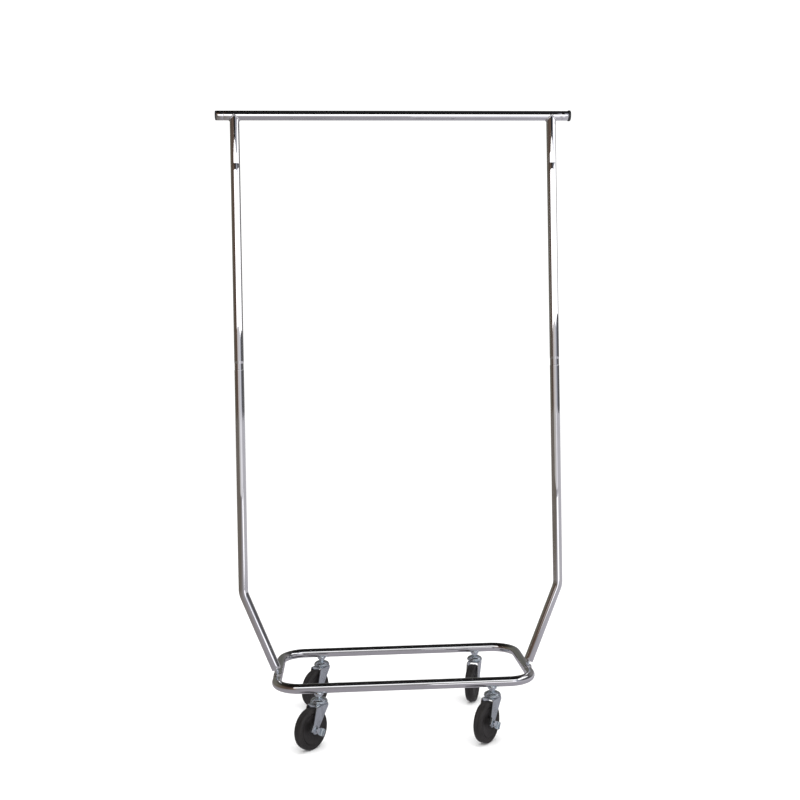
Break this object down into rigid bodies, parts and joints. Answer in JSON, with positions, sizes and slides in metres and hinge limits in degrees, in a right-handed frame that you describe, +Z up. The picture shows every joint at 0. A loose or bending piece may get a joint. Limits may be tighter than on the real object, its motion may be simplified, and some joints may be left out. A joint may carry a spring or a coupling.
{
  "type": "rolling clothes rack",
  "caption": "Knock-down rolling clothes rack: a straight hang rail on two uprights that bend in to a rounded tube base loop on swivel casters.",
  "frame": {"origin": "on the floor, under the middle of the base loop", "axes": "+Z up; +X along the hang rail towards its flanged end; +Y from the front of the base to its back"},
  "size_m": [0.9605, 0.4291, 1.6783],
  "materials": {
    "chrome_tube": "bright chrome plating on round steel tube, lightly scuffed",
    "chrome_weld": "plated over a rough weld",
    "zinc_fittings": "bright zinc plating with a blue cast",
    "zinc_caster": "zinc plated pressings, satin, with handling marks",
    "black_plug": "black moulded plastic",
    "black_core": "black moulded wheel centre",
    "black_tyre": "black rubber, dusty where it rolls"
  },
  "bodies": {
    "base": {"base_frame": "chrome_tube", "left_pin_socket": "chrome_weld", "right_pin_socket": "chrome_weld", "caster_saddle_washers": "zinc_fittings", "caster_insert_nuts": "zinc_fittings", "front_left_stem": "zinc_fittings", "front_left_top_dish": "zinc_caster", "front_left_swivel_balls": "zinc_fittings", "front_right_stem": "zinc_fittings", "front_right_top_dish": "zinc_caster", "front_right_swivel_balls": "zinc_fittings", "rear_left_stem": "zinc_fittings", "rear_left_top_dish": "zinc_caster", "rear_left_swivel_balls": "zinc_fittings", "rear_right_stem": "zinc_fittings", "rear_right_top_dish": "zinc_caster", "rear_right_swivel_balls": "zinc_fittings"},
    "leg_frame": {"left_leg_tube": "chrome_tube", "right_leg_tube": "chrome_tube", "left_foot_pin": "zinc_fittings", "right_foot_pin": "zinc_fittings"},
    "upper_tubes": {"left_upper_tube": "chrome_tube", "right_upper_tube": "chrome_tube"},
    "hang_rail": {"hang_rail": "chrome_tube", "left_stub_tube": "chrome_tube", "right_stub_tube": "chrome_tube", "rail_weld_beads": "chrome_weld", "left_end_plug": "black_plug", "right_end_plug": "black_plug"},
    "front_left_fork": {"front_left_fork": "zinc_caster", "front_left_axle_bolt": "zinc_fittings", "front_left_axle_nut": "zinc_fittings", "front_left_wheel_bushing": "zinc_fittings"},
    "front_left_wheel": {"front_left_wheel_core": "black_core", "front_left_tyre": "black_tyre"},
    "front_left_brake_lever": {"front_left_brake_lever": "zinc_caster"},
    "front_right_fork": {"front_right_fork": "zinc_caster", "front_right_axle_bolt": "zinc_fittings", "front_right_axle_nut": "zinc_fittings", "front_right_wheel_bushing": "zinc_fittings"},
    "front_right_wheel": {"front_right_wheel_core": "black_core", "front_right_tyre": "black_tyre"},
    "front_right_brake_lever": {"front_right_brake_lever": "zinc_caster"},
    "rear_left_fork": {"rear_left_fork": "zinc_caster", "rear_left_axle_bolt": "zinc_fittings", "rear_left_axle_nut": "zinc_fittings", "rear_left_wheel_bushing": "zinc_fittings"},
    "rear_left_wheel": {"rear_left_wheel_core": "black_core", "rear_left_tyre": "black_tyre"},
    "rear_right_fork": {"rear_right_fork": "zinc_caster", "rear_right_axle_bolt": "zinc_fittings", "rear_right_axle_nut": "zinc_fittings", "rear_right_wheel_bushing": "zinc_fittings"},
    "rear_right_wheel": {"rear_right_wheel_core": "black_core", "rear_right_tyre": "black_tyre"}
  },
  "joints": [
    {"name": "leg_frame_lift", "type": "slide", "parent": "base", "child": "leg_frame", "axis": [0, 0, 1], "range_m": [0, 0.025]},
    {"name": "upper_tubes_lift", "type": "slide", "parent": "leg_frame", "child": "upper_tubes", "axis": [0, 0, 1], "range_m": [0, 0.062]},
    {"name": "hang_rail_lift", "type": "slide", "parent": "upper_tubes", "child": "hang_rail", "axis": [0, 0, 1], "range_m": [0, 0.062]},
    {"name": "front_left_swivel", "type": "hinge", "parent": "base", "child": "front_left_fork", "pos_m": [-0.228, -0.166, 0.1], "axis": [0, 0, 1], "continuous": true},
    {"name": "front_left_wheel_spin", "type": "hinge", "parent": "front_left_fork", "child": "front_left_wheel", "pos_m": [-0.24965, -0.1909, 0.053], "axis": [-0.7547, 0.6561, 0], "continuous": true},
    {"name": "front_left_brake", "type": "hinge", "parent": "front_left_fork", "child": "front_left_brake_lever", "pos_m": [-0.24965, -0.1909, 0.053], "axis": [-0.7547, 0.6561, 0], "range_deg": [0, 22]},
    {"name": "front_right_swivel", "type": "hinge", "parent": "base", "child": "front_right_fork", "pos_m": [0.228, -0.166, 0.1], "axis": [0, 0, 1], "continuous": true},
    {"name": "front_right_wheel_spin", "type": "hinge", "parent": "front_right_fork", "child": "front_right_wheel", "pos_m": [0.20768, -0.192, 0.053], "axis": [-0.788, 0.6157, 0], "continuous": true},
    {"name": "front_right_brake", "type": "hinge", "parent": "front_right_fork", "child": "front_right_brake_lever", "pos_m": [0.20768, -0.192, 0.053], "axis": [-0.788, 0.6157, 0], "range_deg": [0, 22]},
    {"name": "rear_left_swivel", "type": "hinge", "parent": "base", "child": "rear_left_fork", "pos_m": [-0.228, 0.166, 0.1], "axis": [0, 0, 1], "continuous": true},
    {"name": "rear_left_wheel_spin", "type": "hinge", "parent": "rear_left_fork", "child": "rear_left_wheel", "pos_m": [-0.2474, 0.1393, 0.053], "axis": [-0.809, 0.5878, 0], "continuous": true},
    {"name": "rear_right_swivel", "type": "hinge", "parent": "base", "child": "rear_right_fork", "pos_m": [0.228, 0.166, 0.1], "axis": [0, 0, 1], "continuous": true},
    {"name": "rear_right_wheel_spin", "type": "hinge", "parent": "rear_right_fork", "child": "rear_right_wheel", "pos_m": [0.21617, 0.13519, 0.053], "axis": [-0.9336, 0.3584, 0], "continuous": true}
  ]
}
